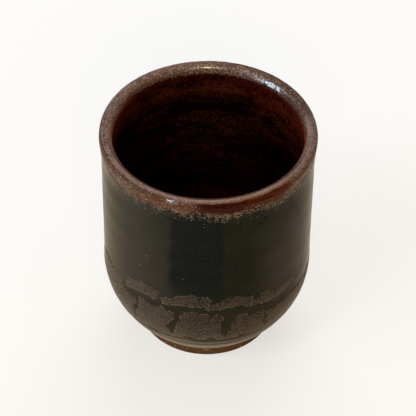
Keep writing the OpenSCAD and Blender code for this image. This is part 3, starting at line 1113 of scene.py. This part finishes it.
def clay_material():
    material, shader, place = new_material("bare fired clay", CLAY_GLOSS)
    cloud = ramp(grain(place, 120, 4), 0.3, 0.7)
    ground = mix(cloud, (0.073, 0.0325, 0.0095), (0.108, 0.05, 0.017))
    streaks = grain(stretched(place, (0.12, 0.12, 4)), 700, 3)
    ground = paint(ground, (0.055, 0.023, 0.008), ramp(streaks, 0.4, 0.7), 0.35)
    pale = specked(place, 1400, 0.28, 0.34)
    ground = paint(ground, (0.45, 0.34, 0.23), pale, 0.8)
    dark = specked(place, 1000, 0.15, 0.3)
    ground = paint(ground, (0.02, 0.01, 0.006), dark, 0.7)
    give(shader, "Base Color", ground)
    give_roughness(shader, cloud, 0.8, 0.9)
    gritty = plus(grain(place, 1800, 4, 0.7), times(pale, 0.4), streaks)
    give_bump(shader, gritty, 0.00015, 0.8)
    return material


def make_cup():
    specks_group()
    lip_break = lip_break_group()
    rust = rust_group()
    outside = outside_group(lip_break, rust, black_group())
    inside = inside_group(lip_break, rust, oxblood_group())
    brown = brown_material()
    finish_piece(make_clay_body("thrown_clay"), clay_material(), "clay_body")
    finish_piece(make_liner_glaze("oxblood_liner"), liner_material(inside), "liner_glaze")
    finish_piece(make_lip_glaze("rust_lip"), lip_material(outside, inside), "lip_glaze")
    finish_piece(make_black_glaze("black_coat"), black_material(outside), "black_glaze")
    upper = make_brown_coat("upper_islands", UPPER_ISLANDS, LOWER_ISLANDS, ISLAND_GAP, UPPER_STRIP)
    finish_piece(upper, brown, "brown_upper_islands")
    lower = make_brown_coat("lower_islands", LOWER_ISLANDS, LOWER_BITES, 0, LOWER_STRIP)
    finish_piece(lower, brown, "brown_lower_band")


# Studio: a pale floor, soft lights and the photograph's camera, in metres, watts and millimetres of lens
FLOOR_R = 3
FLOOR_SIDES = 96
FLOOR_TINT = (0.9, 0.88, 0.84)
FLOOR_WHITENING = 0.6
WHITE = {"Color": (1, 1, 1), "Strength": 1}
FILL = {"Color": (0.95, 0.97, 1), "Strength": 0.4}
CAMERA_PLACE = (0, -0.488506, 0.523181)
CAMERA_FORWARD = (0.00022, 0.718945, -0.695066)
CAMERA_UP = (-0.013854, 0.695002, 0.718874)
SENSOR = 36
LENS = 164.3
NEAREST = 0.01
LAMP_AIM = (0, 0, 0.05)
# Each lamp's name, place, width and height, power and tint
LAMPS = [
    ("back_panel", (0.1, 0.8, 0.78), (0.9, 0.6), 6.5, (1, 0.97, 0.92)),
    ("side_window", (-0.93, -0.36, 0.3), (0.52, 0.34), 5.7, (0.62, 0.83, 1)),
    ("key_panel", (-0.45, -0.5, 0.9), (0.22, 0.2), 1.6, (1, 0.98, 0.95)),
    ("front_lamp", (0.03, -0.62, 0.48), (0.22, 0.11), 1.9, (1, 0.62, 0.18)),
]


def seen(tree):
    """1 for what the camera sees, also mirrored or through a clear surface, and 0 for other light."""
    ray = add(tree, "ShaderNodeLightPath").outputs
    return most(ray["Is Camera Ray"], ray["Is Glossy Ray"], ray["Is Transmission Ray"])


def mixed(tree, share, a, b):
    """One shader going over to another as share goes from 0 to 1."""
    return add(tree, "ShaderNodeMixShader", {0: share, 1: a, 2: b}).outputs[0]


def make_floor():
    """A pale floor with a hole hidden under the foot ring, so that light reaches the cup's underside."""
    bpy.ops.object.select_all(action="DESELECT")
    bpy.ops.mesh.primitive_circle_add(vertices=FLOOR_SIDES, radius=FOOT_R - FOOT_BEVEL)
    floor = bpy.context.object
    floor.name = "studio_floor"
    bpy.ops.object.mode_set(mode="EDIT")
    bpy.ops.mesh.select_all(action="SELECT")
    bpy.ops.mesh.extrude_region_move()
    bpy.ops.transform.resize(value=(FLOOR_R / FOOT_R, FLOOR_R / FOOT_R, 1))
    close_mesh()
    if floor.data.polygons[0].normal.z < 0:
        floor.data.flip_normals()
    material = bpy.data.materials.new("pale floor")
    material.use_nodes = True
    tree = material.node_tree
    tree.nodes.clear()
    matte = add(tree, "ShaderNodeBsdfDiffuse", {"Color": FLOOR_TINT}).outputs[0]
    white = add(tree, "ShaderNodeEmission", WHITE).outputs[0]
    top = mixed(tree, times(seen(tree), FLOOR_WHITENING), matte, white)
    clear = add(tree, "ShaderNodeBsdfTransparent").outputs[0]
    under = add(tree, "ShaderNodeNewGeometry").outputs["Backfacing"]
    add(tree, "ShaderNodeOutputMaterial", {"Surface": mixed(tree, under, top, clear)})
    floor.data.materials.append(material)


def make_light(name, place, size, watts, tint):
    lamp = bpy.data.lights.new(name, "AREA")
    lamp.shape = "RECTANGLE"
    lamp.size, lamp.size_y = size
    lamp.energy = watts
    lamp.color = tint
    body = bpy.data.objects.new(name, lamp)
    bpy.context.collection.objects.link(body)
    body.location = place
    body.rotation_euler = (Vector(LAMP_AIM) - Vector(place)).to_track_quat("-Z", "Y").to_euler()


def make_world():
    world = bpy.data.worlds.new("studio")
    bpy.context.scene.world = world
    world.use_nodes = True
    tree = world.node_tree
    tree.nodes.clear()
    fill = add(tree, "ShaderNodeBackground", FILL).outputs[0]
    white = add(tree, "ShaderNodeBackground", WHITE).outputs[0]
    add(tree, "ShaderNodeOutputWorld", {"Surface": mixed(tree, seen(tree), fill, white)})


def make_camera():
    """The photograph's view: from the front, well above, with a long lens and a slight roll."""
    lens = bpy.data.cameras.new("photo_camera")
    lens.sensor_width = SENSOR
    lens.lens = LENS
    lens.clip_start = NEAREST
    camera = bpy.data.objects.new("photo_camera", lens)
    bpy.context.collection.objects.link(camera)
    forward = Vector(CAMERA_FORWARD).normalized()
    right = forward.cross(Vector(CAMERA_UP)).normalized()
    turn = Matrix((right, right.cross(forward), -forward)).transposed().to_4x4()
    camera.matrix_world = Matrix.Translation(CAMERA_PLACE) @ turn
    bpy.context.scene.camera = camera


make_cup()
make_floor()
make_world()
make_camera()
for lamp in LAMPS:
    make_light(*lamp)
bpy.context.scene.view_settings.view_transform = "Standard"
